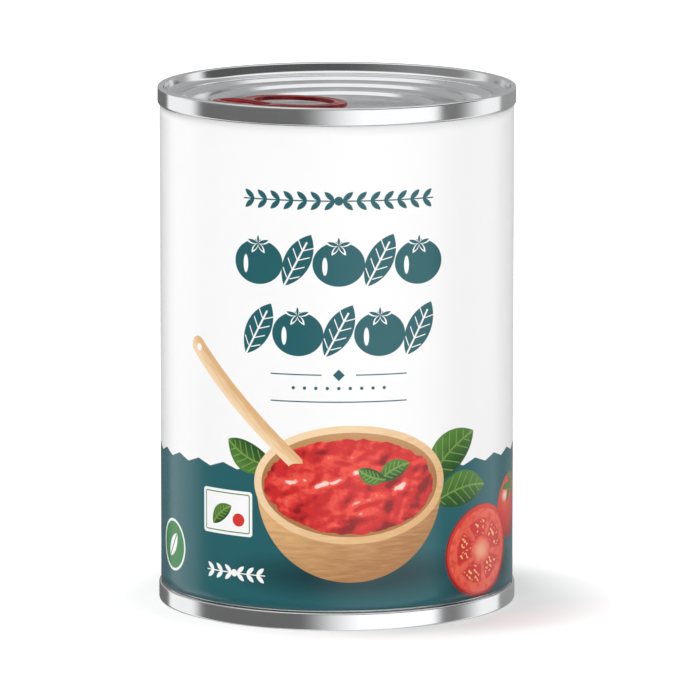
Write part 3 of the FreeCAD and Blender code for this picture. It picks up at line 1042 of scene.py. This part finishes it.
# The back: a ruled table and a framed panel, both empty.
TABLE_ACROSS = 76.0
PANEL_ACROSS = -76.0
TABLE_LINE_PITCH = 4.2
TABLE_LINE_REACH = 15.2
back = field("label_back")
x, y = back.at(TABLE_ACROSS, 67.0)
back.ink(TEAL, abs(bar(x, y, 17.0, 28.0, 0.8)) - 0.2)
back.ink(TEAL, bar(x, y - 21.0, TABLE_LINE_REACH, 0.9, 0.1))
back.ink(TEAL, bar(x, y + 17.0, TABLE_LINE_REACH, 0.5, 0.1))
ruled = bar(x, y - 2.0, TABLE_LINE_REACH, 17.5, 0.1)
back.ink(TEAL, (abs(y.folded(TABLE_LINE_PITCH)) - 0.09).most(ruled))
x, y = back.at(TABLE_ACROSS, 18.5)
back.ink(WHITE, bar(x, y, 17.0, 7.5, 0.8))
x, y = back.at(PANEL_ACROSS, 64.0)
back.ink(TEAL, abs(bar(x, y, 17.0, 21.0, 2.0)) - 0.2)
back.ink(TEAL, abs(bar(x, y, 15.9, 19.9, 1.2)) - 0.07)
sprig(back, PANEL_ACROSS, 91.0, pairs=5, size=0.9, colour=TEAL)
sprig(back, PANEL_ACROSS, 18.0, pairs=5, size=0.9, colour=WHITE)
reverse = back.finish()

strip_start = (LAP_AZIMUTH - 2 * math.pi) * label_radius - LAP / 2
strip_length = 2 * math.pi * label_radius + LAP
label = baked(
    piece("label_wrap", bpy.data.meshes.new("label_wrap")), wrapping_tree(),
    Start=strip_start, Length=strip_length, Low=label_foot, Height=label_top - label_foot,
    Radius=wall_radius, Thickness=PAPER, Lap=LAP, Lap_Rise=LAP_RISE,
    Columns=LABEL_COLUMNS + 1, Rows=LABEL_ROWS + 1, Finish=plain,
)
prints = (plain, pattern, picture, reverse)
label.data.materials.clear()
for finish in prints:
    label.data.materials.append(finish)
AREAS = [       # the print that an area holds, and the area's reach across and in height
    (picture, (-52, 57), (0, 62)),
    (pattern, (-17, 18), (46, 62)),
    (pattern, (-26, 27), (56, 98)),
    (reverse, (57, 95), (6, 99)),
    (reverse, (-95, -57), (6, 99)),
]
places = label.data.attributes["print"].data
for face in label.data.polygons:
    middle = sum((places[v].vector for v in face.vertices), Vector((0, 0, 0))) / len(face.vertices) / MM
    face.material_index = 0
    for finish, across, heights in AREAS:
        if across[0] < middle.x < across[1] and heights[0] < middle.y < heights[1]:
            face.material_index = prints.index(finish)
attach(label, "root")
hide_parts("label")


# ------------------------------------------------
# The studio: a white floor under a white sky, lit by soft lamps, and cards set round the
# tin that only gloss sees: they shape the light and dark bands along the bright steel.
# ------------------------------------------------
FLOOR_SIZE = 12.0
FLOOR_TONE = 0.88
# The camera alone sees a painted glow added to the floor's lit colour. It is weaker within 40 mm of the
# tin's axis and full from 76 mm out, so the tin's shadow shows near its foot and is washed out further
# away.
FLOOR_PAINTED_GLOW = (0.14, 0.5)        # brings the lit floor up to white for the camera alone
FLOOR_PAINTED_GLOW_REACH = (0.040, 0.076)
floor_mesh = bpy.data.meshes.new("floor")
floor_corners = ((-1, -1), (1, -1), (1, 1), (-1, 1))
floor_mesh.from_pydata([(x * FLOOR_SIZE, y * FLOOR_SIZE, 0) for x, y in floor_corners], [], [(0, 1, 2, 3)])
floor = piece("floor", floor_mesh)
floor.visible_glossy = False


def surfaced(tree, factor, first, second):
    """Ends a material: its surface is the first shader where the factor is 0, and else the second."""
    either = add(tree, "ShaderNodeMixShader", Fac=factor)
    tree.links.new(first.outputs[0], either.inputs[1])
    tree.links.new(second.outputs[0], either.inputs[2])
    tree.links.new(either.outputs[0], tree.nodes["Material Output"].inputs["Surface"])


floor_finish, tree, matt = new_material("studio_floor")
matt.inputs["Base Color"].default_value = (FLOOR_TONE, FLOOR_TONE, FLOOR_TONE, 1)
matt.inputs["Roughness"].default_value = 1
matt.inputs["Specular IOR Level"].default_value = 0
rays = add(tree, "ShaderNodeLightPath")
place = add(tree, "ShaderNodeTexCoord").outputs["Object"]
reach = add(tree, "ShaderNodeVectorMath", {"operation": "LENGTH"}, Vector=place)
# painted glow for camera rays only, rising with distance from the tin
glow_level = ranged(tree, reach.outputs["Value"], FLOOR_PAINTED_GLOW_REACH, FLOOR_PAINTED_GLOW, soft=True)
painted_glow = reckoned(tree, "MULTIPLY", rays.outputs["Is Camera Ray"], glow_level)
lit = add(tree, "ShaderNodeAddShader")
tree.links.new(matt.outputs[0], lit.inputs[0])
tree.links.new(add(tree, "ShaderNodeEmission", Strength=painted_glow).outputs[0], lit.inputs[1])
underneath = add(tree, "ShaderNodeNewGeometry").outputs["Backfacing"]
surfaced(tree, underneath, lit, add(tree, "ShaderNodeBsdfTransparent"))
floor_mesh.materials.append(floor_finish)

AIR_LEVEL = 0.62            # what lights the tin; the sky itself is seen as plain white
world = bpy.data.worlds.new("studio_air")
bpy.context.scene.world = world
world.use_nodes = True
tree = world.node_tree
rays = add(tree, "ShaderNodeLightPath")
seen = rays.outputs["Is Camera Ray"]
for kind in ("Is Glossy Ray", "Is Transmission Ray"):
    seen = reckoned(tree, "MAXIMUM", seen, rays.outputs[kind])
air = ranged(tree, seen, (0.0, 1.0), (AIR_LEVEL, 1.0))
tree.nodes["Background"].inputs["Color"].default_value = (1, 1, 1, 1)
feed(tree, tree.nodes["Background"].inputs["Strength"], air)


def lamp(name, place, size, power):
    """A square soft lamp that faces the middle of the tin."""
    light = bpy.data.lights.new(name, "AREA")
    light.size = size
    light.energy = power
    made = bpy.data.objects.new(name, light)
    made.location = place
    facing = Vector((0, 0, tin_height / 2)) - made.location
    made.rotation_euler = facing.to_track_quat("-Z", "Y").to_euler()
    made.visible_camera = False
    made.visible_glossy = False
    bpy.context.scene.collection.objects.link(made)


lamp("key_lamp", (-0.4, 0.05, 1.3), size=0.35, power=6)
lamp("front_lamp", (-0.1, -1.6, 0.8), size=1.2, power=10.4)
lamp("side_lamp", (1.3, -0.5, 0.4), size=0.7, power=1.0)
lamp("left_rim_lamp", (-1.0, 1.1, 0.16), size=0.3, power=3.5)
lamp("right_rim_lamp", (1.0, 1.1, 0.16), size=0.3, power=4.5)

CARD_DISTANCE = 0.6
CARD_SPACING = 0.01
CARD_COLUMNS = 24
CARD_ROWS = 8


def card(name, order, azimuths, heights, tone, softness):
    """A curved card round the tin, seen in gloss alone, and fading out at its edges.

    azimuths run from the front to the right, and heights up from the horizon, in degrees.
    softness is how much of the card's width and height each faded edge takes.
    """
    mesh = bpy.data.meshes.new(name)
    distance = CARD_DISTANCE + CARD_SPACING * order
    points = []
    places = []
    for row in range(CARD_ROWS + 1):
        v = row / CARD_ROWS
        height = math.radians(heights[0] + (heights[1] - heights[0]) * v)
        for column in range(CARD_COLUMNS + 1):
            u = column / CARD_COLUMNS
            azimuth = math.radians(azimuths[0] + (azimuths[1] - azimuths[0]) * u)
            across = distance * math.cos(height)
            points.append((across * math.sin(azimuth), -across * math.cos(azimuth),
                           distance * math.sin(height) + tin_height / 2))
            places.append((u, v))
    width = CARD_COLUMNS + 1
    faces = [(i, i + 1, i + 1 + width, i + width)
             for row in range(CARD_ROWS) for i in range(row * width, row * width + CARD_COLUMNS)]
    mesh.from_pydata(points, [], faces)
    layer = mesh.uv_layers.new(name="card")
    for corner in mesh.loops:
        layer.data[corner.index].uv = places[corner.vertex_index]
    made = piece(name, mesh)
    made.visible_camera = False
    made.visible_diffuse = False
    made.visible_transmission = False
    made.visible_shadow = False
    finish, tree, shader = new_material(name)
    tree.nodes.remove(shader)
    spot = add(tree, "ShaderNodeUVMap", {"uv_map": "card"}).outputs[0]
    parts = add(tree, "ShaderNodeSeparateXYZ", Vector=spot)
    cover = 1.0
    for axis, fades in zip("XY", softness):
        for low, high in ((0, fades[0]), (1, 1 - fades[1])):
            edge = ranged(tree, parts.outputs[axis], (low, high), soft=True)
            cover = reckoned(tree, "MULTIPLY", cover, edge)
    shine = add(tree, "ShaderNodeEmission", Strength=tone)
    surfaced(tree, cover, add(tree, "ShaderNodeBsdfTransparent"), shine)
    mesh.materials.append(finish)


LOW = (-70, 8)                  # the low cards reach from under the floor to above the horizon
LOW_FADE = (0.05, 0.1)
HIGH = (2, 48)
HIGH_FADE = (0.15, 0.3)
card("left_flag", 0, (-106, 10), LOW, 0.15, ((0.12, 0.30), LOW_FADE))
card("right_soft_box", 1, (4, 72), (-70, 4), 1.2, ((0.2, 0.16), LOW_FADE))
card("right_flag", 2, (56, 107), LOW, 0.2, ((0.30, 0.55), LOW_FADE))
card("back_right_flag", 3, (124, 176), LOW, 0.32, ((0.1, 0.1), LOW_FADE))
card("upper_flag", 4, (-60, 110), HIGH, 0.10, ((0.35, 0.06), HIGH_FADE))
card("back_card", 5, (115, 245), (2, 87), 0.42, ((0.1, 0.1), (0.05, 0.08)))
card("back_left_flag", 6, (172, 226), LOW, 0.16, ((0.1, 0.1), LOW_FADE))
card("upper_left_flag", 7, (-125, 40), HIGH, 0.24, ((0.2, 0.2), HIGH_FADE))

CAMERA_DISTANCE = 1.5914
CAMERA_HEIGHT = 0.3201
CAMERA_PITCH = math.radians(9.436)
LENS = 400.7
FRAMING = 0.00387           # the tin stands a little left of the middle
camera_data = bpy.data.cameras.new("camera")
camera_data.lens = LENS
camera_data.shift_x = FRAMING
camera_data.clip_end = 100
camera = bpy.data.objects.new("camera", camera_data)
camera.location = (0, -CAMERA_DISTANCE, CAMERA_HEIGHT)
camera.rotation_euler = (math.pi / 2 - CAMERA_PITCH, 0, 0)
bpy.context.scene.collection.objects.link(camera)
bpy.context.scene.camera = camera
bpy.context.scene.view_settings.view_transform = "Standard"
